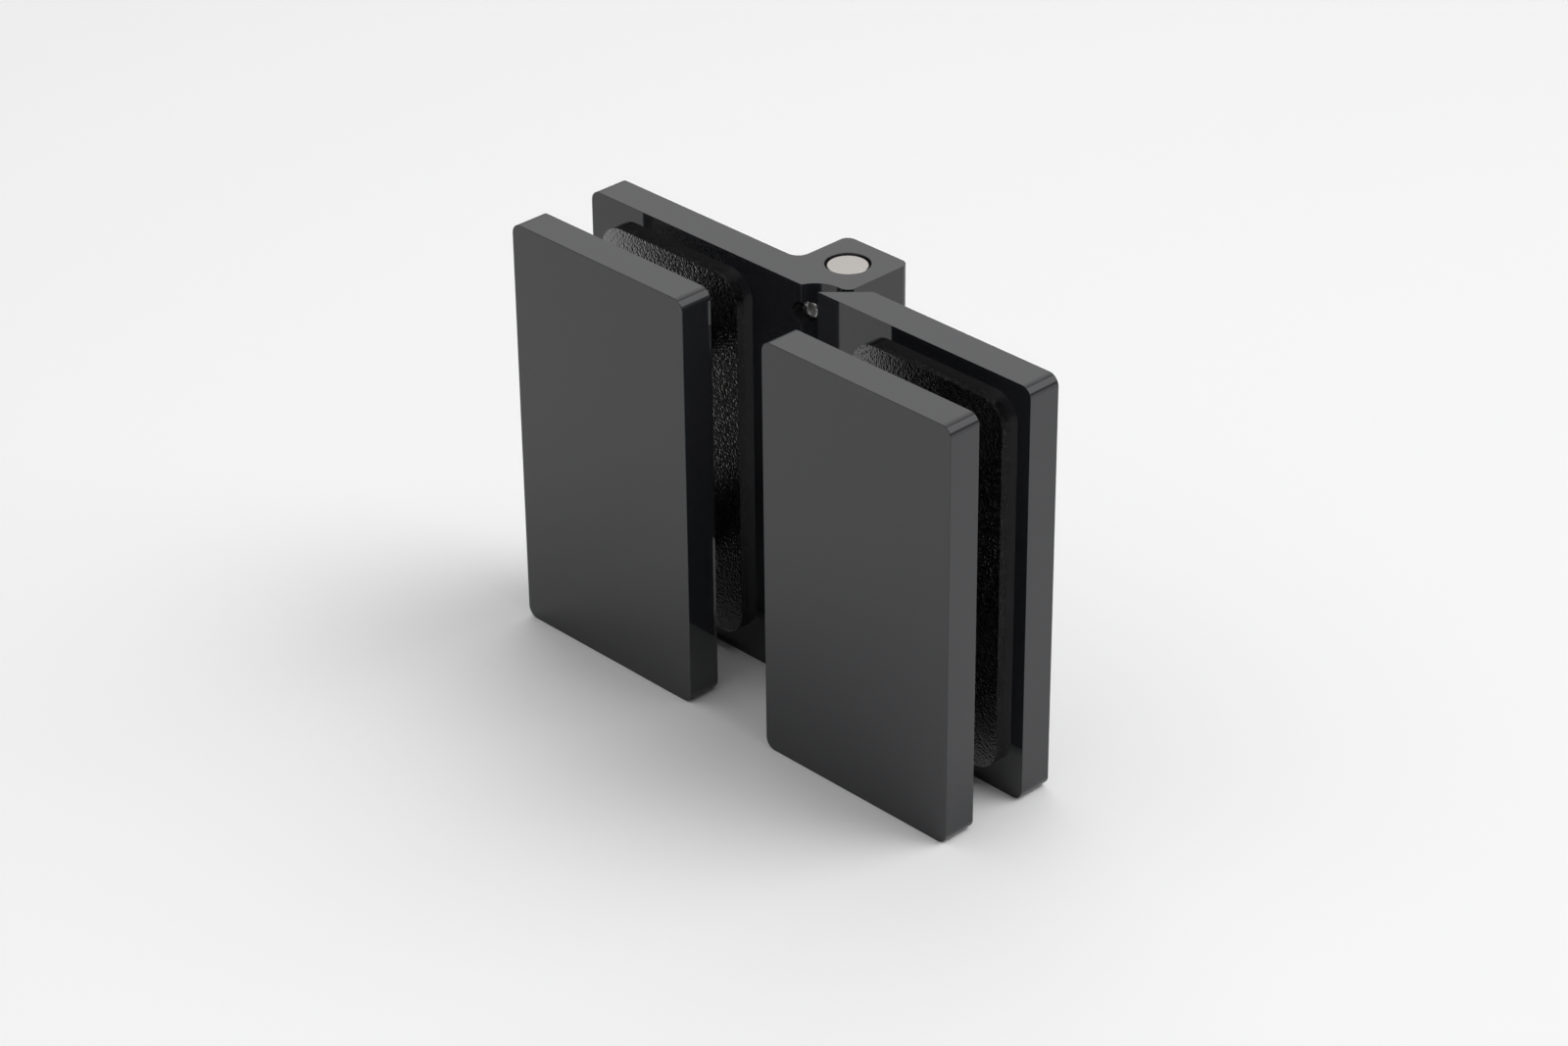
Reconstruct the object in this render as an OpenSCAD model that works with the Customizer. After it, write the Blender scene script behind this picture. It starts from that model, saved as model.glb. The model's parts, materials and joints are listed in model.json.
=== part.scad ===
// Glass-to-glass door hinge that opens through 180 degrees.
// Each pane is clamped between a leaf, behind it, and a clamp plate, in front of it.
// The leaves end in square knuckles that turn on one steel pin behind the panes.
// X runs along the hinge, Y from the front plates to the back, Z up along the pin.
// The origin is the middle of the box round the closed hinge, at its lower end.

/* [Glass panes] */
// Thickness of each glass pane
glass_t = 10; // [8:0.5:12]
// Diameter of the holes drilled in a pane for the clamp screws
glass_hole_d = 16; // [14:0.5:20]
// Height between the two holes of a pane
glass_hole_pitch = 48; // [40:1:54]

/* [Leaves and clamp plates] */
// Height of the hinge along its pin
hinge_h = 96; // [84:1:120]
// Width of each clamp plate
plate_w = 52; // [44:1:70]
// Thickness of each clamp plate
plate_t = 8; // [7:0.5:12]
// Thickness of each leaf
leaf_t = 8; // [7:0.5:12]
// Gap between the two clamp plates
plate_gap = 23; // [18:1:30]
// Radius of the outer corners of the plates and leaves
corner_r = 2.5; // [0.5:0.1:5]

/* [Gaskets] */
// Thickness of each gasket
gasket_t = 2.2; // [1:0.1:3]
// Margin from a plate's sides to its gasket
gasket_side_margin = 5.3; // [3:0.1:8]
// Margin from a plate's top and bottom to its gasket
gasket_end_margin = 4.9; // [3:0.1:8]
// Radius of the gasket's corners
gasket_r = 6; // [2:0.1:8]

/* [Knuckles] */
// Side of the square knuckles
knuckle_w = 18; // [16:0.5:20]
// Radius of the knuckles' corners
knuckle_r = 2.1; // [1:0.1:3]
// Depth of the knuckles' front face behind the glass side of the leaves
knuckle_setback = 4.4; // [3:0.1:5.5]
// Height of the upper and the lower knuckle
end_knuckle_h = 24; // [20:1:28]
// Flat between the hollow in front of a knuckle and the knuckle's corner
cove_flat = 0.3; // [0.2:0.1:1.5]
// Radius of the hollow between a leaf's back and its knuckle's side
root_r = 3; // [1:0.1:5]
// Clearance between a knuckle's corner and the other leaf's bevel as the hinge turns
swing_play = 0.95; // [0.5:0.05:2]

/* [Pin and bushes] */
// Diameter of the hinge pin
pin_d = 9; // [7:0.1:9.5]
// Depth of the pin's ends below the knuckles' end faces
pin_recess = 0.3; // [0.1:0.1:1]
// Chamfer round the pin's ends
pin_edge = 0.25; // [0.1:0.05:0.5]
// Width of the relief round the pin's ends
mouth_gap = 0.35; // [0.1:0.05:0.6]
// Depth of the relief round the pin's ends
mouth_depth = 1.2; // [0.6:0.1:2]
// Wall of the bushes
bush_wall = 1.5; // [1:0.1:2]
// Length of a bush inside its knuckle
bush_l = 14; // [8:1:16]
// Width of the bush's flange beyond its wall
flange_w = 1.5; // [0.5:0.1:2]
// Thickness of the bush's flange, which keeps the knuckles apart
flange_t = 1; // [0.5:0.1:1.5]

/* [Screws] */
// Thread diameter of the clamp screws
screw_d = 6; // [5:0.5:8]
// Head diameter of the clamp screws
head_d = 12; // [11:0.5:13]
// Width across the flats of the clamp screws' sockets
head_socket_w = 4; // [3:0.5:5]
// Depth of the clamp screws' sockets
head_socket_depth = 2.6; // [2:0.1:3]
// Thread diameter of the grub screws
grub_d = 5; // [4:0.5:6]
// Length of the grub screws
grub_l = 6.4; // [5.6:0.2:7]
// Width across the flats of the grub screws' sockets
grub_socket_w = 2.5; // [2:0.1:3]
// Depth of the grub screws' sockets
grub_socket_depth = 2.5; // [2:0.1:3]
// Distance of the grub screws from the hinge's ends
grub_inset = 6.6; // [5:0.1:12]
// Depth of the flats that the grub screws press on
pin_flat = 0.4; // [0.2:0.1:0.8]

/* [Fits and clearances] */
// Running clearance between the pin and the bushes, on the radius
running_play = 0.05; // [0.02:0.01:0.09]
// Clearance of parts that seat in each other, on the radius
seat_play = 0.02; // [0.01:0.01:0.05]
// Clearance over the flanges, along the pin
thrust_play = 0.1; // [0.05:0.05:0.3]
// Clearance of the pin between the bushes, on the radius
pin_relief = 0.5; // [0.3:0.1:1]
// Clearance of the clamp screws in the leaves, gaskets and sleeves, on the radius
screw_play = 0.3; // [0.2:0.05:0.5]
// Clearance of the sleeves in the glass, on the radius
sleeve_play = 1; // [0.5:0.1:2]
// Depth of the clamp screws' heads below the leaves' backs
head_sink = 0.2; // [0:0.1:0.5]
// Chamfer at the ends of the screws
screw_edge = 0.5; // [0.2:0.1:0.8]
// Wall left in front of the blind holes in the clamp plates
blind_wall = 1.8; // [1:0.1:2.5]
// Space beyond the clamp screws' tips in the blind holes
tip_play = 0.6; // [0.2:0.1:1]

/* [Hidden] */
$fn = 64;

// Room for cuts that run past a face, and for parts of one solid that run into each other
past = 1;
lap = 0.4;

// The glass side of the leaves is the plane y = 0
half_w = plate_w + plate_gap / 2;
slot_w = glass_t + 2 * gasket_t;
plate_back = -slot_w;
plate_mid_x = half_w - plate_w / 2;
screw_z = [hinge_h / 2 + glass_hole_pitch / 2, hinge_h / 2 - glass_hole_pitch / 2];
screw_tip_y = plate_back - plate_t + blind_wall + tip_play;
head_h = (head_d - screw_d) / 2;
sleeve_d = glass_hole_d - 2 * sleeve_play;
screw_hole_d = screw_d + 2 * screw_play;

// The pin's axis, and how far a knuckle's corners reach from it
pin_y = knuckle_setback + knuckle_w / 2;
knuckle_reach = (knuckle_w / 2 - knuckle_r) * sqrt(2) + knuckle_r;
bevel_x = (knuckle_reach + swing_play) * sqrt(2) - pin_y;

// The hollow in front of a knuckle is an arc from the leaf's end at x = 0 to the knuckle's front
cove_x = knuckle_w / 2 - knuckle_r - cove_flat;
cove_r = (cove_x * cove_x + knuckle_setback * knuckle_setback) / (2 * knuckle_setback);

// The middle knuckle lies between the bushes' flanges
mid_z = end_knuckle_h + thrust_play + flange_t;
mid_h = hinge_h - 2 * mid_z;
bush_id = pin_d + 2 * running_play;
bush_od = bush_id + 2 * bush_wall;
flange_d = bush_od + 2 * flange_w;

// The grub screws press on flats on the front of the pin
grub_tip_y = pin_y - pin_d / 2 + pin_flat;
grub_z = [hinge_h - grub_inset, grub_inset];

body_black = [0.21, 0.21, 0.22];
gasket_black = [0.12, 0.12, 0.12];
steel = [0.80, 0.78, 0.75];
bush_grey = [0.30, 0.30, 0.31];
sleeve_black = [0.15, 0.15, 0.15];

// Everything on the right is the mirror image of the left
module on_right() {
    mirror([1, 0, 0]) children();
}

// Extrudes an outline drawn in X and Z towards the back, from y_front
module standing(y_front, t) {
    translate([0, y_front + t, 0]) rotate([90, 0, 0]) linear_extrude(t) children();
}

// Turns a cylinder's axis to run towards the back from y = 0
module towards_back() {
    rotate([-90, 0, 0]) children();
}

module rounded_rect(x0, y0, w, h, r) {
    translate([x0 + r, y0]) square([w - 2 * r, h]);
    translate([x0, y0 + r]) square([w, h - 2 * r]);
    for (x = [x0 + r, x0 + w - r], y = [y0 + r, y0 + h - r]) {
        translate([x, y]) circle(r);
    }
}

// Fills the inner corner at p with a hollow of radius r; a and b are the directions of its two
// sides, and b lies anticlockwise of a across the open space
module hollow_fillet(p, a, b, r) {
    half = (b - a) / 2;
    reach = r / tan(half);
    side_a = p + reach * [cos(a), sin(a)];
    side_b = p + reach * [cos(b), sin(b)];
    centre = p + r / sin(half) * [cos(a + half), sin(a + half)];
    difference() {
        polygon([
            p - lap * [cos(a + half), sin(a + half)],
            side_a + lap * [sin(a), -cos(a)],
            side_a,
            centre,
            side_b,
            side_b + lap * [-sin(b), cos(b)]
        ]);
        translate(centre) circle(r);
    }
}

// Plan of the left leaf where it carries a knuckle
module knuckle_plan() {
    difference() {
        translate([-half_w, 0]) square([half_w + cove_x, leaf_t]);
        translate([cove_x, knuckle_setback - cove_r]) circle(cove_r);
    }
    rounded_rect(-knuckle_w / 2, knuckle_setback, knuckle_w, knuckle_w, knuckle_r);
    hollow_fillet([-knuckle_w / 2, leaf_t], 90, 180, root_r);
}

// Plan of the left leaf where the other leaf's knuckle turns in front of its bevel
module bevelled_plan() {
    polygon([[-half_w, 0], [-bevel_x, 0], [-bevel_x - leaf_t, leaf_t], [-half_w, leaf_t]]);
}

// A left leaf with knuckles on the given stretches of its height, each [from, height]
module leaf_blank(stretches) {
    intersection() {
        union() {
            linear_extrude(hinge_h) bevelled_plan();
            for (s = stretches) {
                translate([0, 0, s[0]]) linear_extrude(s[1]) knuckle_plan();
            }
        }
        standing(-past, pin_y + knuckle_w + 2 * past) {
            rounded_rect(-half_w, 0, 2 * half_w, hinge_h, corner_r);
        }
    }
}

// Countersunk holes for the two clamp screws of the left leaf, opening at its back
module clamp_screw_holes() {
    for (z = screw_z) {
        translate([-plate_mid_x, 0, z]) towards_back() {
            translate([0, 0, -past]) cylinder(d = screw_hole_d, h = leaf_t + 2 * past);
            translate([0, 0, leaf_t - head_sink - head_h]) {
                cylinder(d1 = screw_hole_d, d2 = screw_hole_d + 2 * head_h, h = head_h);
            }
            translate([0, 0, leaf_t - head_sink - lap / 2]) {
                cylinder(d = screw_hole_d + 2 * head_h, h = head_sink + lap / 2 + past);
            }
        }
    }
}

module on_pin_axis(z) {
    translate([0, pin_y, z]) children();
}

module left_leaf() {
    color(body_black) difference() {
        leaf_blank([[0, end_knuckle_h], [hinge_h - end_knuckle_h, end_knuckle_h]]);
        clamp_screw_holes();
        on_pin_axis(-past) cylinder(d = pin_d + 2 * seat_play, h = hinge_h + 2 * past);
        for (z = [-past, hinge_h - mouth_depth]) {
            on_pin_axis(z) cylinder(d = pin_d + 2 * mouth_gap, h = mouth_depth + past);
        }
        for (z = grub_z) {
            translate([0, -past, z]) towards_back() {
                cylinder(d = grub_d + 2 * seat_play, h = pin_y + past);
            }
        }
    }
}

module right_leaf() {
    color(body_black) difference() {
        on_right() leaf_blank([[mid_z, mid_h]]);
        on_right() clamp_screw_holes();
        on_pin_axis(0) cylinder(d = pin_d + 2 * pin_relief, h = hinge_h);
        for (z = [mid_z - past, mid_z + mid_h - bush_l]) {
            on_pin_axis(z) cylinder(d = bush_od + 2 * seat_play, h = bush_l + past);
        }
    }
}

// Left clamp plate, with blind holes for the clamp screws in its back
module clamp_plate() {
    color(body_black) difference() {
        standing(plate_back - plate_t, plate_t) {
            rounded_rect(-half_w, 0, plate_w, hinge_h, corner_r);
        }
        for (z = screw_z) {
            translate([-plate_mid_x, screw_tip_y - tip_play, z]) towards_back() {
                cylinder(d = screw_d + 2 * seat_play, h = plate_t);
            }
        }
    }
}

// Gasket of the left pane, with its front at y_front
module gasket(y_front) {
    color(gasket_black) difference() {
        standing(y_front, gasket_t) {
            rounded_rect(
                -half_w + gasket_side_margin, gasket_end_margin,
                plate_w - 2 * gasket_side_margin, hinge_h - 2 * gasket_end_margin, gasket_r
            );
        }
        for (z = screw_z) {
            translate([-plate_mid_x, y_front - past, z]) towards_back() {
                cylinder(d = screw_hole_d, h = gasket_t + 2 * past);
            }
        }
    }
}

module hinge_pin() {
    length = hinge_h - 2 * pin_recess;
    r = pin_d / 2;
    color(steel) difference() {
        on_pin_axis(pin_recess) rotate_extrude() {
            polygon([
                [0, 0], [r - pin_edge, 0], [r, pin_edge],
                [r, length - pin_edge], [r - pin_edge, length], [0, length]
            ]);
        }
        for (z = grub_z) {
            translate([-pin_d / 2, grub_tip_y - pin_d, z - grub_d / 2 - past]) {
                cube([pin_d, pin_d, grub_d + 2 * past]);
            }
        }
    }
}

// A bush, with its flange below its sleeve
module bush() {
    color(bush_grey) difference() {
        union() {
            cylinder(d = bush_od, h = flange_t + bush_l);
            cylinder(d = flange_d, h = flange_t);
        }
        translate([0, 0, -past]) cylinder(d = bush_id, h = flange_t + bush_l + 2 * past);
    }
}

module lower_bush() {
    on_pin_axis(mid_z - flange_t) bush();
}

module upper_bush() {
    on_pin_axis(mid_z + mid_h + flange_t) mirror([0, 0, 1]) bush();
}

// A hexagonal socket, cut from z = 0 downwards
module hex_socket(across, depth) {
    corner_d = across / cos(30);
    translate([0, 0, -depth]) cylinder(d = corner_d, h = depth + past, $fn = 6);
}

// A grub screw at height z, with its socket towards the front
module grub_screw(z) {
    r = grub_d / 2;
    color(steel) translate([0, grub_tip_y, z]) rotate([90, 0, 0]) difference() {
        rotate_extrude() {
            polygon([
                [0, 0], [r - screw_edge, 0], [r, screw_edge],
                [r, grub_l - screw_edge], [r - screw_edge, grub_l], [0, grub_l]
            ]);
        }
        translate([0, 0, grub_l]) hex_socket(grub_socket_w, grub_socket_depth);
    }
}

// A countersunk clamp screw of the left leaf at height z, with its head at the back
module clamp_screw(z) {
    head_y = leaf_t - head_sink;
    r = screw_d / 2;
    length = head_y - screw_tip_y;
    color(steel) translate([-plate_mid_x, screw_tip_y, z]) towards_back() difference() {
        rotate_extrude() {
            polygon([
                [0, 0], [r - screw_edge, 0], [r, screw_edge],
                [r, length - head_h], [head_d / 2, length], [0, length]
            ]);
        }
        translate([0, 0, length]) hex_socket(head_socket_w, head_socket_depth);
    }
}

// A black nylon sleeve round a clamp screw, between the gaskets of the left pane
module sleeve(z) {
    color(sleeve_black) translate([-plate_mid_x, plate_back + gasket_t, z]) towards_back() {
        difference() {
            cylinder(d = sleeve_d, h = glass_t);
            translate([0, 0, -past]) cylinder(d = screw_hole_d, h = glass_t + 2 * past);
        }
    }
}

left_leaf();
right_leaf();
clamp_plate();  // left_clamp_plate
on_right() clamp_plate();  // right_clamp_plate
gasket(-gasket_t);  // left_leaf_gasket
on_right() gasket(-gasket_t);  // right_leaf_gasket
gasket(plate_back);  // left_plate_gasket
on_right() gasket(plate_back);  // right_plate_gasket
hinge_pin();
upper_bush();
lower_bush();
grub_screw(grub_z[0]);  // upper_grub_screw
grub_screw(grub_z[1]);  // lower_grub_screw
clamp_screw(screw_z[0]);  // left_upper_clamp_screw
clamp_screw(screw_z[1]);  // left_lower_clamp_screw
on_right() clamp_screw(screw_z[0]);  // right_upper_clamp_screw
on_right() clamp_screw(screw_z[1]);  // right_lower_clamp_screw
sleeve(screw_z[0]);  // left_upper_sleeve
sleeve(screw_z[1]);  // left_lower_sleeve
on_right() sleeve(screw_z[0]);  // right_upper_sleeve
on_right() sleeve(screw_z[1]);  // right_lower_sleeve
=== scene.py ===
# %% [markdown]
# # Dressing a glass door hinge
#
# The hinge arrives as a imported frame: 21 solids at their real size, each in its own place, on the
# two bodies that turn about the pin. Nothing here moves or resizes them. This lesson gives them the
# finish of the real thing: satin black plates with eased edges, pebbled rubber gaskets, a turned
# steel pin, and screws with real threads and sockets.
#
# The frame is loaded first, because every later cell takes its places and sizes from it.

# %% Load the frame
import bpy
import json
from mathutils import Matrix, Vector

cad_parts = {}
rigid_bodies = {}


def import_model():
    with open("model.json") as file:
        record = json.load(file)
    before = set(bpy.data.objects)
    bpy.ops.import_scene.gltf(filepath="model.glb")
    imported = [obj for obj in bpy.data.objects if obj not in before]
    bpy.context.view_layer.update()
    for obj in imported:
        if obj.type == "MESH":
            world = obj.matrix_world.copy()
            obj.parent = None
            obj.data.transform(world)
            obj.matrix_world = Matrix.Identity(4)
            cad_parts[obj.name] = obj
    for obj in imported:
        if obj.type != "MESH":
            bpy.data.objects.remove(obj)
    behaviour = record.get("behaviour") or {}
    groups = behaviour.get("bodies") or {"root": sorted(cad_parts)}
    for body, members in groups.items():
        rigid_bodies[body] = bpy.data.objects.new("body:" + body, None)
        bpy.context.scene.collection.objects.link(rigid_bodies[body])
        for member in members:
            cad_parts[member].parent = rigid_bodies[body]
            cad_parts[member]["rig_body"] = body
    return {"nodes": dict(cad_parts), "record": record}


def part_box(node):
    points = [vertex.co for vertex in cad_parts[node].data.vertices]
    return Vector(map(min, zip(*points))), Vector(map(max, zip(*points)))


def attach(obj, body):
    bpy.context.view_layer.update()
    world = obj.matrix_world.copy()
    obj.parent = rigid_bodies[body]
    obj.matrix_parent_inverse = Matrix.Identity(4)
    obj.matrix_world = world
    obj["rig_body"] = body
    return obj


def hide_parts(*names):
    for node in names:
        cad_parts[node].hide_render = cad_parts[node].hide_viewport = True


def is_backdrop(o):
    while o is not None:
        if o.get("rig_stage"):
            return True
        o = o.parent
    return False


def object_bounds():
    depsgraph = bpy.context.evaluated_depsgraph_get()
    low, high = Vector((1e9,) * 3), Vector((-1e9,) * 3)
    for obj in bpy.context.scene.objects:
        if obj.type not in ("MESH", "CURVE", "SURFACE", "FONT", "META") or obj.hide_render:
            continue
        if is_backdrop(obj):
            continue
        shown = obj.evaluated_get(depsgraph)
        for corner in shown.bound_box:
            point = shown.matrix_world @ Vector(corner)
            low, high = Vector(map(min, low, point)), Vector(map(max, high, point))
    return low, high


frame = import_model()

# %% [markdown]
# ## Names, units and the box to stay inside
#
# Blender counts in metres, and a hinge is thought of in millimetres, so sizes below are written as a
# number times MM. The box of the whole hinge is measured now, before anything is added, to be printed
# at the end beside the box of the finished model. The record says which finish each node takes, so
# that table is kept too.

# %% Names and units
import json
import math

import bmesh
import bpy
from mathutils import Matrix, Vector

MM = 0.001
cad_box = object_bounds()
slot_of = {row["node"]: row["material_slot"] for row in frame["record"]["subparts"]}
for slot_name in sorted(set(slot_of.values())):
    print(slot_name, "on", ", ".join(sorted(n for n in slot_of if slot_of[n] == slot_name)))

# %% [markdown]
# ## The camera
#
# The hinge is seen from its front right corner and from above, through a long lens, so that its
# upright edges stay almost parallel. A camera could be aimed with a constraint, but a turn about
# the upright axis, a tilt and a small roll say the same thing in three plain angles, and leave
# nothing live in the file.

# %% Camera
CAMERA_AZIMUTH = 45.979
CAMERA_ELEVATION = 30.140
CAMERA_ROLL = -0.562
CAMERA_DISTANCE = 884.45 * MM
CAMERA_TARGET = Vector((-0.263, -5.246, 42.107)) * MM
LENS = 97.36
SENSOR_WIDTH = 36

camera_data = bpy.data.cameras.new("camera")
camera_data.lens = LENS
camera_data.sensor_width = SENSOR_WIDTH
camera = bpy.data.objects.new("camera", camera_data)
bpy.context.scene.collection.objects.link(camera)
aim = (
    Matrix.Rotation(math.radians(CAMERA_AZIMUTH), 4, "Z")
    @ Matrix.Rotation(math.radians(90 - CAMERA_ELEVATION), 4, "X")
    @ Matrix.Rotation(math.radians(CAMERA_ROLL), 4, "Z")
)
camera.matrix_world = (
    Matrix.Translation(CAMERA_TARGET) @ aim @ Matrix.Translation((0, 0, CAMERA_DISTANCE))
)
bpy.context.scene.camera = camera
print("camera at", [round(value, 4) for value in camera.matrix_world.translation])

# %% [markdown]
# ## Small helpers for nodes
#
# Every finish below is a Principled BSDF with a few nodes in front of it. Four helpers keep the
# cells short: one adds a node and sets its values by name, one starts a material and hands back
# its parts, one starts a node group with its sockets, and one prints those sockets. A Mix node has
# hidden twins of each socket for numbers, vectors and colours, so the first helper sets every twin
# that fits the value.

# %% Node helpers
def add_node(tree, kind, **values):
    """Adds a node; settings are set by their own name, and then sockets by theirs."""
    node = tree.nodes.new(kind)
    names = {name: name.replace("_", " ") for name in values}
    for name, value in values.items():
        if names[name] not in node.inputs:
            setattr(node, name, value)
    for name, value in values.items():
        wide = len(value) if isinstance(value, tuple) else 1
        for socket in node.inputs:
            has = len(socket.default_value) if hasattr(socket.default_value, "__len__") else 1
            if socket.name == names[name] and has == wide:
                socket.default_value = value
    return node


def start_material(name):
    """A new material, its node tree and its Principled BSDF shader."""
    material = bpy.data.materials.new(name)
    material.use_nodes = True
    return material, material.node_tree, material.node_tree.nodes["Principled BSDF"]


def start_group(name, inputs, outputs):
    """A new node group; inputs and outputs give each socket's name and type."""
    group = bpy.data.node_groups.new(name, "ShaderNodeTree")
    for socket_name, kind in inputs.items():
        group.interface.new_socket(socket_name, in_out="INPUT", socket_type="NodeSocket" + kind)
    for socket_name, kind in outputs.items():
        group.interface.new_socket(socket_name, in_out="OUTPUT", socket_type="NodeSocket" + kind)
    return group, group.nodes.new("NodeGroupInput"), group.nodes.new("NodeGroupOutput")


def show_sockets(group):
    """Prints what a node group takes and gives."""
    for way in ("INPUT", "OUTPUT"):
        names = [item.name for item in group.interface.items_tree if item.in_out == way]
        print(group.name, way.lower(), ", ".join(names) or "none")


# %% [markdown]
# ## The sky, with its soft boxes
#
# A studio lights black parts by what they mirror: big soft boxes, with dark between them. Area
# lamps would do, but soft boxes painted on the sky have no distance, so they light the floor
# evenly and mirror the same way in every part of the hinge. Each one is a round patch: full
# strength out to its core angle, and fading to nothing over its soft edge. The dot product of two
# directions is the cosine of the angle between them, which is all that the patch needs.

# %% Soft box group
def soft_box_group():
    """Light from one soft box, seen in the sky's own direction."""
    inputs = {"Towards": "Vector", "Core": "Float", "Edge": "Float", "Strength": "Float"}
    group, given, result = start_group("soft_box", inputs, {"Light": "Float"})
    place = group.nodes.new("ShaderNodeTexCoord")
    cosine = add_node(group, "ShaderNodeVectorMath", operation="DOT_PRODUCT")
    fade = add_node(group, "ShaderNodeMapRange", interpolation_type="SMOOTHSTEP")
    group.links.new(place.outputs["Generated"], cosine.inputs[0])
    group.links.new(given.outputs["Towards"], cosine.inputs[1])
    group.links.new(cosine.outputs["Value"], fade.inputs["Value"])
    group.links.new(given.outputs["Edge"], fade.inputs["From Min"])
    group.links.new(given.outputs["Core"], fade.inputs["From Max"])
    group.links.new(given.outputs["Strength"], fade.inputs["To Max"])
    group.links.new(fade.outputs["Result"], result.inputs["Light"])
    return group


soft_box = soft_box_group()
show_sockets(soft_box)

# %% [markdown]
# ## Where the soft boxes stand
#
# The bands of light round the plates' corners, and the shadow on the floor, say where the boxes
# are: a wide one behind the right hand side, a small strong one above it, a large soft one behind
# the left, and another high up in front on the left. An even glow fills the rest, brighter at the
# horizon, so that the room stays pale from low down too. Azimuths turn from +X towards +Y.

# %% Places of the soft boxes
SOFT_BOXES = {
    "right": {"azimuth": 48, "elevation": 39.5, "core": 19, "soft": 9, "strength": 1.64},
    "top": {"azimuth": 31, "elevation": 62, "core": 15, "soft": 9, "strength": 2.52},
    "back_left": {"azimuth": 132, "elevation": 47, "core": 2, "soft": 39, "strength": 1.07},
    "front_left": {"azimuth": 222, "elevation": 60, "core": 12, "soft": 32, "strength": 0.73},
}


def towards(azimuth, elevation):
    """The unit vector towards a place in the sky, given in degrees."""
    turn = Matrix.Rotation(math.radians(azimuth), 3, "Z")
    rise = Matrix.Rotation(-math.radians(elevation), 3, "Y")
    return turn @ rise @ Vector((1, 0, 0))


print("soft boxes:", ", ".join(SOFT_BOXES))

# %% Sky
SKY_GLOW = 0.195
HORIZON_GLOW = 0.47
HORIZON_TOP = math.sin(math.radians(10))

world = bpy.data.worlds.new("studio")
world.use_nodes = True
bpy.context.scene.world = world
sky = world.node_tree
sky_place = sky.nodes.new("ShaderNodeTexCoord")
height = sky.nodes.new("ShaderNodeSeparateXYZ")
sky.links.new(sky_place.outputs["Generated"], height.inputs["Vector"])
horizon = add_node(sky, "ShaderNodeMapRange", interpolation_type="SMOOTHSTEP", From_Max=HORIZON_TOP)
horizon.inputs["To Min"].default_value = SKY_GLOW + HORIZON_GLOW
horizon.inputs["To Max"].default_value = SKY_GLOW
sky.links.new(height.outputs["Z"], horizon.inputs["Value"])
light = horizon.outputs["Result"]
for box_name, box in SOFT_BOXES.items():
    patch = sky.nodes.new("ShaderNodeGroup")
    patch.node_tree = soft_box
    patch.label = box_name
    patch.inputs["Towards"].default_value = towards(box["azimuth"], box["elevation"])
    patch.inputs["Core"].default_value = math.cos(math.radians(box["core"]))
    patch.inputs["Edge"].default_value = math.cos(math.radians(box["core"] + box["soft"]))
    patch.inputs["Strength"].default_value = box["strength"]
    total = add_node(sky, "ShaderNodeMath", operation="ADD")
    sky.links.new(light, total.inputs[0])
    sky.links.new(patch.outputs["Light"], total.inputs[1])
    light = total.outputs["Value"]
sky.links.new(light, sky.nodes["Background"].inputs["Strength"])
sky.nodes["Background"].inputs["Color"].default_value = (1, 1, 1, 1)
print(len(SOFT_BOXES), "soft boxes on a glow of", SKY_GLOW)

# %% [markdown]
# ## The floor
#
# A round sheet of matt white, so wide that its edge is never seen. A pool of light is painted into
# its colour: it is palest beside the hinge on the right, and darkens with the square of the distance
# from there, as a paper sweep does away from its lamp, though the sky's soft boxes light it evenly.
# The painted tone is drawn from the floor's own coordinates, so it stays where it is when the camera
# moves. The dot product of a vector with itself is its length squared.

# %% Floor
FLOOR_RADIUS = 12.0
FLOOR_SIDES = 96
# Painted light: the floor's colour is palest at this place and darker away from it, like a pool of
# lamplight.
LIGHT_POOL_PLACE = (0.23, 0.12, 0)
LIGHT_POOL_TONE = (0.957, 0.957, 0.957, 1)
LIGHT_POOL_OUTER_TONE = (0.850, 0.850, 0.850, 1)
LIGHT_POOL_REACH = 0.707

floor_material, tree, shader = start_material("pale_floor")
shader.inputs["Roughness"].default_value = 1
shader.inputs["Specular IOR Level"].default_value = 0
place = tree.nodes.new("ShaderNodeTexCoord")
away = add_node(tree, "ShaderNodeVectorMath", operation="SUBTRACT")
away.inputs[1].default_value = LIGHT_POOL_PLACE
squared = add_node(tree, "ShaderNodeVectorMath", operation="DOT_PRODUCT")
# Painted shade: the floor's colour darkens with the squared distance from the painted pool of light.
fall = add_node(tree, "ShaderNodeMapRange", From_Max=LIGHT_POOL_REACH**2)
tone = add_node(tree, "ShaderNodeMix", data_type="RGBA", A=LIGHT_POOL_TONE, B=LIGHT_POOL_OUTER_TONE)
tree.links.new(place.outputs["Object"], away.inputs[0])
tree.links.new(away.outputs["Vector"], squared.inputs[0])
tree.links.new(away.outputs["Vector"], squared.inputs[1])
tree.links.new(squared.outputs["Value"], fall.inputs["Value"])
tree.links.new(fall.outputs["Result"], tone.inputs[0])
tree.links.new(tone.outputs[2], shader.inputs["Base Color"])

bm = bmesh.new()
bmesh.ops.create_circle(bm, cap_ends=True, radius=FLOOR_RADIUS, segments=FLOOR_SIDES)
floor_mesh = bpy.data.meshes.new("floor")
bm.to_mesh(floor_mesh)
bm.free()
floor_mesh.materials.append(floor_material)
floor = bpy.data.objects.new("floor", floor_mesh)
bpy.context.scene.collection.objects.link(floor)
floor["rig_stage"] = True
print(f"floor: {FLOOR_SIDES} sides, {FLOOR_RADIUS:.0f} m in radius")

# %% [markdown]
# ## Grain, for every finish
#
# No real surface is one flat value. Powder coat, rubber, ground steel and moulded plastic each have
# a fine grain that breaks up the light, and a slow drift in tone over centimetres. One node group
# makes both from noise on Object coordinates, so that the grain stays fixed to the metal when a
# leaf turns, and each material sets its own sizes.

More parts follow.
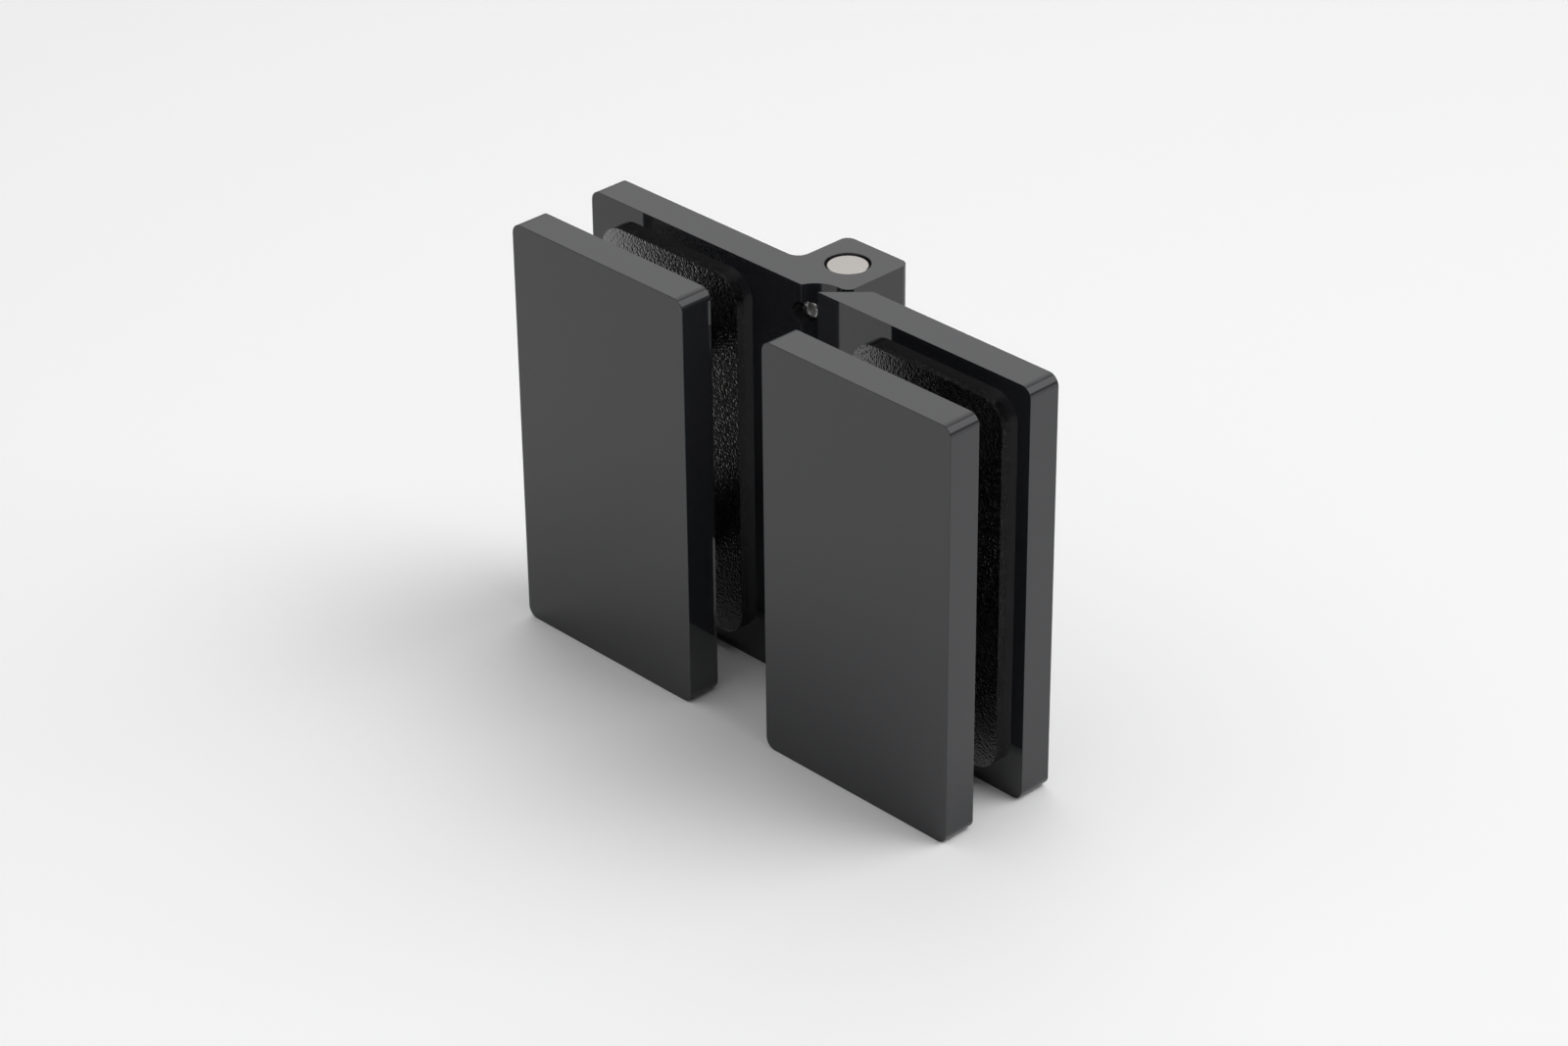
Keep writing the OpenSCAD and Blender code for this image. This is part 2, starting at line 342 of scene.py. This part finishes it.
# %% Grain group
def fine_grain_group():
    """Fine grain, as a height, and a slow drift over the surface."""
    inputs = {"Grain Size": "Float", "Drift Size": "Float"}
    group, given, result = start_group("fine_grain", inputs, {"Height": "Float", "Drift": "Float"})
    place = group.nodes.new("ShaderNodeTexCoord")
    for size, output in (("Grain Size", "Height"), ("Drift Size", "Drift")):
        per_metre = add_node(group, "ShaderNodeMath", operation="DIVIDE")
        per_metre.inputs[0].default_value = 1 / MM
        noise = add_node(group, "ShaderNodeTexNoise", Detail=2.0, Roughness=0.5)
        group.links.new(given.outputs[size], per_metre.inputs[1])
        group.links.new(per_metre.outputs[0], noise.inputs["Scale"])
        group.links.new(place.outputs["Object"], noise.inputs["Vector"])
        group.links.new(noise.outputs["Fac"], result.inputs[output])
    return group


fine_grain = fine_grain_group()
show_sockets(fine_grain)

# %% Grain in a material
def add_grain(tree, shader, grain, drift, depth, dark, light, rough):
    """Puts the grain group in a material: sizes in mm, depth in metres, and two ends of each range.

    Gives back the bump and the tone, for a material that feeds them with something else.
    """
    group = tree.nodes.new("ShaderNodeGroup")
    group.node_tree = fine_grain
    group.inputs["Grain Size"].default_value = grain
    group.inputs["Drift Size"].default_value = drift
    bump = add_node(tree, "ShaderNodeBump", Strength=1.0, Distance=depth)
    tone = add_node(tree, "ShaderNodeMix", data_type="RGBA", A=(*dark, 1), B=(*light, 1))
    spread = add_node(tree, "ShaderNodeMapRange", To_Min=rough[0], To_Max=rough[1])
    tree.links.new(group.outputs["Height"], bump.inputs["Height"])
    tree.links.new(bump.outputs["Normal"], shader.inputs["Normal"])
    tree.links.new(group.outputs["Drift"], tone.inputs[0])
    tree.links.new(tone.outputs[2], shader.inputs["Base Color"])
    tree.links.new(group.outputs["Drift"], spread.inputs["Value"])
    tree.links.new(spread.outputs["Result"], shader.inputs["Roughness"])
    return bump, tone


# %% [markdown]
# ## Satin black
#
# The leaves and clamp plates are black with a smooth gloss: their flat faces mirror the floor and
# the soft boxes as dim grey, and each other with crisp edges. Most of that grey is gloss: the
# colour underneath is nearly black, with a trace of blue. A lighter base colour would also give
# grey faces, but then the insides of the hinge, where little is mirrored, would turn grey too.
# Each finish goes into one table, under the name of the material slot that takes it.

# %% Satin black
SATIN_IOR = 1.535
finish = {}


def satin_black():
    """The coat of the leaves and the clamp plates."""
    material, tree, shader = start_material("satin_black")
    add_grain(
        tree, shader, grain=0.5, drift=30, depth=0.0001 * MM,
        dark=(0.0168, 0.0176, 0.0202), light=(0.0182, 0.0190, 0.0218), rough=(0.035, 0.050),
    )
    shader.inputs["IOR"].default_value = SATIN_IOR
    return material


finish["body"] = satin_black()
print("body:", finish["body"].name)

# %% [markdown]
# ## Gasket rubber
#
# The gaskets that grip the glass have a pebbled face. Each tiny pebble leans its own way and
# catches a different part of the room, so the rubber glitters where it sees the light and sinks to
# black where it doesn't. Noise would make the slopes, but it has a few steep ones that light up
# the dark corners too. A Voronoi texture gives the distance from the middle of each pebble, and
# its square is a round cap, whose slope never passes the one that is asked for. Each cell also has
# a colour of its own, picked at random, which makes some pebbles paler. Only the two broad faces
# are pebbled: the cut sides are smooth, so the bump is faded out by how far a face turns away from
# the Y axis, along which the gasket is pressed.

# %% Pebbles group
EDGE_OF_PEBBLE = 0.55
PALE_FROM = 0.5


def pebbles_group():
    """Round caps of the given size in mm: their height, as a share of the size, and their tint."""
    outputs = {"Height": "Float", "Tint": "Float"}
    group, given, result = start_group("pebbles", {"Size": "Float"}, outputs)
    place = group.nodes.new("ShaderNodeTexCoord")
    per_metre = add_node(group, "ShaderNodeMath", operation="DIVIDE")
    per_metre.inputs[0].default_value = 1 / MM
    cells = group.nodes.new("ShaderNodeTexVoronoi")
    cap = add_node(group, "ShaderNodeMath", operation="MULTIPLY")
    height = add_node(group, "ShaderNodeMath", operation="SUBTRACT")
    height.inputs[0].default_value = 1.0
    group.links.new(given.outputs["Size"], per_metre.inputs[1])
    group.links.new(per_metre.outputs[0], cells.inputs["Scale"])
    group.links.new(place.outputs["Object"], cells.inputs["Vector"])
    group.links.new(cells.outputs["Distance"], cap.inputs[0])
    group.links.new(cells.outputs["Distance"], cap.inputs[1])
    group.links.new(cap.outputs[0], height.inputs[1])
    group.links.new(height.outputs[0], result.inputs["Height"])
    chance = group.nodes.new("ShaderNodeSeparateColor")
    pale = add_node(group, "ShaderNodeMapRange", From_Min=PALE_FROM)
    group.links.new(cells.outputs["Color"], chance.inputs["Color"])
    group.links.new(chance.outputs["Red"], pale.inputs["Value"])
    group.links.new(pale.outputs["Result"], result.inputs["Tint"])
    return group


pebbles = pebbles_group()
show_sockets(pebbles)

# %% [markdown]
# The pebbles take over the bump and the tone of this material, and the grain group is left with
# the drift of its roughness. A cap is steepest at its edge. Its slope there is twice its depth
# times the distance of the edge from its middle, both counted in pebble sizes, and the depth is
# worked out from that.

# %% Gasket rubber
PEBBLE_SIZE = 0.52
PEBBLE_SLOPE = 0.21
PEBBLE_DEPTH = PEBBLE_SLOPE * PEBBLE_SIZE * MM / (2 * EDGE_OF_PEBBLE)
BROAD_FROM = 0.80
BROAD_TO = 0.97
RUBBER_IOR = 2.3


def gasket_rubber():
    """The rubber of the four gaskets, pebbled on its broad faces."""
    material, tree, shader = start_material("gasket_rubber")
    bump, tone = add_grain(
        tree, shader, grain=0.4, drift=8, depth=PEBBLE_DEPTH,
        dark=(0.002,) * 3, light=(0.030,) * 3, rough=(0.10, 0.15),
    )
    caps = tree.nodes.new("ShaderNodeGroup")
    caps.node_tree = pebbles
    caps.inputs["Size"].default_value = PEBBLE_SIZE
    tree.links.new(caps.outputs["Height"], bump.inputs["Height"])
    tree.links.new(caps.outputs["Tint"], tone.inputs[0])
    place = tree.nodes.new("ShaderNodeTexCoord")
    facing = tree.nodes.new("ShaderNodeSeparateXYZ")
    lean = add_node(tree, "ShaderNodeMath", operation="ABSOLUTE")
    broad = add_node(tree, "ShaderNodeMapRange", From_Min=BROAD_FROM, From_Max=BROAD_TO)
    tree.links.new(place.outputs["Normal"], facing.inputs["Vector"])
    tree.links.new(facing.outputs["Y"], lean.inputs[0])
    tree.links.new(lean.outputs[0], broad.inputs["Value"])
    tree.links.new(broad.outputs["Result"], bump.inputs["Strength"])
    shader.inputs["IOR"].default_value = RUBBER_IOR
    return material


finish["gasket"] = gasket_rubber()
print(f"gasket: {finish['gasket'].name}, pebbles {PEBBLE_DEPTH / MM:.3f} mm deep")

# %% [markdown]
# ## Turned steel
#
# The pin is a bright steel rod, faced in a lathe, which leaves rings about its axis too fine to
# count. The rings are a sine of the distance from the pin's axis. They could be a Wave texture,
# but its bands are set by an overall scale, and a sine lets the pitch be written in millimetres.

# %% Rings group
def turning_rings_group():
    """Height of the rings that a lathe leaves, about an upright axis through Axis."""
    inputs = {"Axis": "Vector", "Pitch": "Float"}
    group, given, result = start_group("turning_rings", inputs, {"Height": "Float"})
    place = group.nodes.new("ShaderNodeTexCoord")
    away = add_node(group, "ShaderNodeVectorMath", operation="SUBTRACT")
    flat = add_node(group, "ShaderNodeVectorMath", operation="MULTIPLY")
    flat.inputs[1].default_value = (1, 1, 0)
    radius = add_node(group, "ShaderNodeVectorMath", operation="LENGTH")
    turns = add_node(group, "ShaderNodeMath", operation="DIVIDE")
    angle = add_node(group, "ShaderNodeMath", operation="MULTIPLY")
    angle.inputs[1].default_value = math.tau
    wave = add_node(group, "ShaderNodeMath", operation="SINE")
    group.links.new(place.outputs["Object"], away.inputs[0])
    group.links.new(given.outputs["Axis"], away.inputs[1])
    group.links.new(away.outputs["Vector"], flat.inputs[0])
    group.links.new(flat.outputs["Vector"], radius.inputs[0])
    group.links.new(radius.outputs["Value"], turns.inputs[0])
    group.links.new(given.outputs["Pitch"], turns.inputs[1])
    group.links.new(turns.outputs[0], angle.inputs[0])
    group.links.new(angle.outputs[0], wave.inputs[0])
    group.links.new(wave.outputs[0], result.inputs["Height"])
    return group


turning_rings = turning_rings_group()
show_sockets(turning_rings)

# %% Turned steel
RING_PITCH = 0.15 * MM
RING_DEPTH = 0.0006 * MM


def middle(node):
    """The middle of a node's box."""
    low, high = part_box(node)
    return (Vector(low) + Vector(high)) / 2


def turned_steel():
    """The pin's steel, with the rings of the lathe over its grain."""
    material, tree, shader = start_material("turned_steel")
    grain_bump, _ = add_grain(
        tree, shader, grain=0.4, drift=6, depth=0.0006 * MM,
        dark=(0.476, 0.449, 0.426), light=(0.498, 0.470, 0.446), rough=(0.24, 0.30),
    )
    rings = tree.nodes.new("ShaderNodeGroup")
    rings.node_tree = turning_rings
    rings.inputs["Axis"].default_value = middle("hinge_pin")
    rings.inputs["Pitch"].default_value = RING_PITCH
    ring_bump = add_node(tree, "ShaderNodeBump", Strength=1.0, Distance=RING_DEPTH)
    tree.links.new(rings.outputs["Height"], ring_bump.inputs["Height"])
    tree.links.new(grain_bump.outputs["Normal"], ring_bump.inputs["Normal"])
    tree.links.new(ring_bump.outputs["Normal"], shader.inputs["Normal"])
    shader.inputs["Metallic"].default_value = 1
    return material


finish["pin"] = turned_steel()
print("pin:", finish["pin"].name, "about", [round(value / MM, 1) for value in middle("hinge_pin")])

# %% [markdown]
# ## Screws, bushes and sleeves
#
# The grub screws are plain bright steel, roughly finished, and the countersunk clamp screws are
# blackened to match the leaves. The bushes are a dark moulded plastic that runs without grease, and
# the sleeves that keep the screws off the glass are black nylon. They share the grain group, at
# their own sizes.

# %% Screw steel
def bright_steel():
    """The bare, roughly finished steel of the grub screws."""
    material, tree, shader = start_material("bright_steel")
    add_grain(
        tree, shader, grain=0.6, drift=0.9, depth=0.28 * MM,
        dark=(0.60, 0.60, 0.59), light=(0.86, 0.86, 0.84), rough=(0.14, 0.22),
    )
    shader.inputs["Metallic"].default_value = 1
    return material


def black_oxide():
    """The blackened steel of the clamp screws."""
    material, tree, shader = start_material("black_oxide")
    add_grain(
        tree, shader, grain=0.2, drift=4, depth=0.001 * MM,
        dark=(0.018, 0.018, 0.020), light=(0.030, 0.030, 0.032), rough=(0.26, 0.36),
    )
    return material


finish["grub_screw"] = bright_steel()
finish["clamp_screw"] = black_oxide()
print("screws:", finish["grub_screw"].name, "and", finish["clamp_screw"].name)

# %% Moulded plastics
def dark_acetal():
    """The plastic of the bushes."""
    material, tree, shader = start_material("dark_acetal")
    add_grain(
        tree, shader, grain=0.3, drift=6, depth=0.002 * MM,
        dark=(0.040, 0.040, 0.041), light=(0.055, 0.055, 0.056), rough=(0.38, 0.46),
    )
    return material


def black_nylon():
    """The plastic of the sleeves."""
    material, tree, shader = start_material("black_nylon")
    add_grain(
        tree, shader, grain=0.5, drift=8, depth=0.003 * MM,
        dark=(0.018, 0.018, 0.018), light=(0.024, 0.024, 0.024), rough=(0.36, 0.45),
    )
    return material


finish["bush"] = dark_acetal()
finish["sleeve"] = black_nylon()
print("slots without a finish:", sorted(set(slot_of.values()) - set(finish)))

# %% [markdown]
# ## From a mesh to a finished piece
#
# Each finished piece stands for one node of the frame: it rides on the same body, takes the same
# finish, and the node is hidden. Its faces are smooth, apart from the edges that turn sharply, and
# a Weighted Normal modifier keeps the big flats truly flat, so that only the narrow rounds at
# their edges bend the light.

# %% Finish a piece
SHARP_ANGLE = math.radians(40)
FACE_AREA_WEIGHT = 100


def finish_piece(bm, node):
    """Makes a bmesh the visible piece that stands for a node."""
    bmesh.ops.recalc_face_normals(bm, faces=bm.faces)
    for face in bm.faces:
        face.smooth = True
    for edge in bm.edges:
        edge.smooth = not edge.is_manifold or edge.calc_face_angle() < SHARP_ANGLE
    open_edges = sum(not edge.is_manifold for edge in bm.edges)
    mesh = bpy.data.meshes.new(node + "_finished")
    bm.to_mesh(mesh)
    volume = bm.calc_volume() / MM**3
    bm.free()
    mesh.materials.append(finish[slot_of[node]])
    piece = bpy.data.objects.new(node + "_finished", mesh)
    bpy.context.scene.collection.objects.link(piece)
    weighted = piece.modifiers.new("weighted_normals", "WEIGHTED_NORMAL")
    weighted.keep_sharp = True
    weighted.weight = FACE_AREA_WEIGHT
    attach(piece, frame["nodes"][node]["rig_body"])
    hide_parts(node)
    print(f"{piece.name}: {len(mesh.polygons)} faces, {open_edges} open edges, {volume:.0f} cubic mm")
    return piece


# %% [markdown]
# ## Easing the edges
#
# A coated edge is never knife sharp, and the thin line of light along it is most of what makes a
# black part look real. The pieces whose shape is right already start from a copy of their node: the
# copy is merged, its flat faces are joined into one polygon each, and its sharp edges are bevelled
# by a fraction of a millimetre. A Bevel modifier could do the last step, but the operator lets the
# edges be chosen by their angle and place: the holes drilled for the grub screws stay sharp. So do
# the gaskets, which are cut from sheet with a die: their width of bevel is none.

# %% Eased copies
MERGE_DISTANCE = 0.001 * MM
FLAT_ANGLE = math.radians(0.3)
EASED_ANGLE = math.radians(30)
HOLE_MARGIN = 0.1 * MM
GRUB_SCREWS = ("upper_grub_screw", "lower_grub_screw")


def drilled_places():
    """Where each grub screw's hole runs along Y: its middle, and how far its edge reaches."""
    places = []
    for node in GRUB_SCREWS:
        low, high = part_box(node)
        places.append((middle(node), (high[0] - low[0]) / 2 + HOLE_MARGIN))
    return places


GRUB_HOLES = drilled_places()
print("drilled holes reach", [round(reach / MM, 2) for _, reach in GRUB_HOLES], "mm")


def drilled(edge):
    """True for an edge of a hole drilled along Y for a grub screw."""
    return any(
        all((vert.co - centre).xz.length < reach for vert in edge.verts)
        for centre, reach in GRUB_HOLES
    )


def eased_copy(node, width, segments=3):
    """A merged copy of a node's solid, with its sharp edges rounded off if width is over 0."""
    bm = bmesh.new()
    bm.from_mesh(frame["nodes"][node].data)
    bmesh.ops.remove_doubles(bm, verts=bm.verts, dist=MERGE_DISTANCE)
    bmesh.ops.dissolve_limit(bm, angle_limit=FLAT_ANGLE, verts=bm.verts, edges=bm.edges)
    sharp = [
        edge for edge in bm.edges
        if edge.is_manifold and edge.calc_face_angle() > EASED_ANGLE and not drilled(edge)
    ]
    if width > 0:
        bmesh.ops.bevel(
            bm, geom=sharp, offset=width, offset_type="OFFSET", segments=segments,
            profile=0.5, affect="EDGES", material=-1, clamp_overlap=True,
        )
    return bm


# %% Leaves, plates, gaskets, pin, bushes and sleeves
EASE = {"body": 0.15 * MM, "gasket": 0, "pin": 0.17 * MM, "bush": 0.1 * MM, "sleeve": 0.15 * MM}

for node in sorted(frame["nodes"]):
    if slot_of[node] in EASE:
        finish_piece(eased_copy(node, EASE[slot_of[node]]), node)

# %% [markdown]
# ## A real thread
#
# The screws are the one place where the solid is plainer than the real thing. A metric thread is a
# short zigzag that climbs as it goes round: five points, one pitch tall, are spun about the axis,
# and rise by one pitch a turn. Each turn then ends where the next begins, so merging the doubles
# makes one unbroken helix. It starts two turns below the screw's tip and runs past its other end,
# is cut off flat at both, and has its crests pulled in there to the slope of a chamfer, as a
# thread has when the blank is pointed first. Depths and places on the zigzag are shares of the
# pitch.

# %% Thread
STEPS = 48
THREAD_DEPTH = 0.6134
ROOT_FLAT = 1 / 4
CREST_FROM = 9 / 16
CREST_TO = 11 / 16
TURNS_BELOW = 2
SPARE_TURNS = 3


def on_end(bm, z):
    """The open edges of a mesh that lie at height z."""
    near = 0.01 * MM
    return [e for e in bm.edges if e.is_boundary and all(abs(v.co.z - z) < near for v in e.verts)]


def thread(radius, pitch, length, chamfer):
    """An open tube with an outside thread from z = 0 up to length, chamfered at both ends."""
    root = radius - THREAD_DEPTH * pitch
    corners = ((root, 0), (root, ROOT_FLAT), (radius, CREST_FROM), (radius, CREST_TO), (root, 1))
    bm = bmesh.new()
    verts = [bm.verts.new((r, 0, (share - TURNS_BELOW) * pitch)) for r, share in corners]
    edges = [bm.edges.new(pair) for pair in zip(verts, verts[1:])]
    turns = math.ceil(length / pitch) + SPARE_TURNS
    bmesh.ops.spin(
        bm, geom=verts + edges, cent=(0, 0, 0), axis=(0, 0, 1), dvec=(0, 0, pitch / STEPS),
        angle=math.tau * turns, steps=STEPS * turns, use_merge=False,
    )
    bmesh.ops.remove_doubles(bm, verts=bm.verts, dist=MERGE_DISTANCE)
    for height, side in ((0, -1), (length, 1)):
        bmesh.ops.bisect_plane(
            bm, geom=bm.verts[:] + bm.edges[:] + bm.faces[:],
            plane_co=(0, 0, height), plane_no=(0, 0, side), clear_outer=True,
        )
    for vert in bm.verts:
        widest = radius - chamfer + min(vert.co.z, length - vert.co.z)
        reach = vert.co.xy.length
        if reach > widest:
            vert.co.xy *= widest / reach
    return bm


print("a thread takes", STEPS, "steps a turn")

# %% [markdown]
# ## A hexagon socket
#
# The open end of a screw is closed in three moves: its round rim is bridged to a hexagon of the
# key's width, the hexagon is extruded down to the socket's depth, and the bottom is filled. Each
# side of the hexagon is divided first, so that the bridge runs between rings of like count. Until
# it is bridged the hexagon is a bare wire, the only one in the mesh, and is found by that.

# %% Socket and end cap
SIDE_CUTS = STEPS // 6 - 1


def close_with_socket(bm, z, across, depth, lead):
    """Closes the rim at height z with a hexagon socket; lead widens its mouth for the key."""
    rim = on_end(bm, z)
    bmesh.ops.create_circle(
        bm, segments=6, radius=across / 2 / math.cos(math.radians(30)) + lead,
        matrix=Matrix.Translation((0, 0, z)),
    )
    sides = [edge for edge in bm.edges if edge.is_wire]
    bmesh.ops.subdivide_edges(bm, edges=sides, cuts=SIDE_CUTS)
    hexagon = [edge for edge in bm.edges if edge.is_wire]
    bmesh.ops.bridge_loops(bm, edges=rim + hexagon)
    mouth = hexagon
    for drop, shrink in ((lead, lead), (depth - lead, 0)):
        made = bmesh.ops.extrude_edge_only(bm, edges=mouth)["geom"]
        verts = [item for item in made if isinstance(item, bmesh.types.BMVert)]
        mouth = [item for item in made if isinstance(item, bmesh.types.BMEdge) and item.is_boundary]
        for vert in verts:
            vert.co.z -= drop
            vert.co.xy *= 1 - shrink / (across / 2 + lead)
    bmesh.ops.edgeloop_fill(bm, edges=mouth)


def stand(bm, node, along):
    """Lays a screw modelled up the Z axis along Y, with its tip where the node's tip is."""
    low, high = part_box(node)
    centre = middle(node)
    tip = low[1] if along > 0 else high[1]
    turn = Matrix.Rotation(math.radians(-90 * along), 4, "X")
    place = Matrix.Translation((centre.x, tip, centre.z)) @ turn
    bmesh.ops.transform(bm, matrix=place, verts=bm.verts)


print("a socket's side takes", SIDE_CUTS + 1, "of the rim's", STEPS, "steps")

# %% [markdown]
# ## Grub screws
#
# Each end knuckle has a headless screw from the front that presses on a flat of the pin, to lock
# the pin to the left leaf. It is thread from end to end, with a chamfer at both and a hexagon
# socket towards the front. One is made as a pattern, and each screw is a copy of it.

# %% Grub screws
GRUB_PITCH = 0.8 * MM
GRUB_CHAMFER = 0.55 * MM
GRUB_KEY = 2.5 * MM
GRUB_SOCKET_DEPTH = 2.5 * MM
SOCKET_LEAD = 0.12 * MM

low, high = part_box(GRUB_SCREWS[0])
length = high[1] - low[1]
pattern = thread((high[2] - low[2]) / 2, GRUB_PITCH, length, GRUB_CHAMFER)
close_with_socket(pattern, length, GRUB_KEY, GRUB_SOCKET_DEPTH, SOCKET_LEAD)
bmesh.ops.edgeloop_fill(pattern, edges=on_end(pattern, 0))
for node in GRUB_SCREWS:
    screw = pattern.copy()
    stand(screw, node, along=-1)
    finish_piece(screw, node)
pattern.free()

# %% [markdown]
# ## Clamp screws
#
# The clamp screws go through the leaf, the glass and its sleeve, into the clamp plate. Under the
# countersunk head runs a short plain shank. The head and shank are one profile, spun round, and
# the shank's open end is bridged to the thread's.

# %% Clamp screw sizes
CLAMP_PITCH = 1.0 * MM
CLAMP_CHAMFER = 0.7 * MM
CLAMP_DIAMETER = 6 * MM
CLAMP_SHANK = 2 * MM
CLAMP_KEY = 4 * MM
CLAMP_SOCKET_DEPTH = 2.6 * MM
HEAD_LAND = 0.15 * MM
SOCKET_MARGIN = 1 * MM

clamp_screws = sorted(node for node in slot_of if slot_of[node] == "clamp_screw")
low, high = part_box(clamp_screws[0])
length = high[1] - low[1]
head_radius = (high[0] - low[0]) / 2
radius = CLAMP_DIAMETER / 2
cone_from = length - (head_radius - radius)
threaded = cone_from - CLAMP_SHANK
shank_from = threaded + CLAMP_CHAMFER
socket_rim = CLAMP_KEY / 2 + SOCKET_MARGIN
profile = (
    (radius, shank_from), (radius, cone_from),
    (head_radius, length - HEAD_LAND), (head_radius - HEAD_LAND, length), (socket_rim, length),
)
print(f"clamp screw: {length / MM:.1f} mm long, with {threaded / MM:.1f} mm of thread")

# %% Clamp screws
pattern = thread(radius, CLAMP_PITCH, threaded, CLAMP_CHAMFER)
verts = [pattern.verts.new((reach, 0, z)) for reach, z in profile]
edges = [pattern.edges.new(pair) for pair in zip(verts, verts[1:])]
bmesh.ops.spin(
    pattern, geom=verts + edges, cent=(0, 0, 0), axis=(0, 0, 1),
    angle=math.tau, steps=STEPS, use_merge=True,
)
bmesh.ops.bridge_loops(pattern, edges=on_end(pattern, threaded) + on_end(pattern, shank_from))
close_with_socket(pattern, length, CLAMP_KEY, CLAMP_SOCKET_DEPTH, SOCKET_LEAD)
bmesh.ops.edgeloop_fill(pattern, edges=on_end(pattern, 0))
for node in clamp_screws:
    screw = pattern.copy()
    stand(screw, node, along=1)
    finish_piece(screw, node)
pattern.free()

# %% [markdown]
# ## Measure and finish
#
# The finished hinge has to fit the box it started from. Both boxes are printed.

# %% Measure and finish
bpy.context.scene.view_settings.view_transform = "Standard"
visual_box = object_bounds()
for name, box in (("cad", cad_box), ("visual", visual_box)):
    print(name, [[round(value / MM, 2) for value in corner] for corner in box])
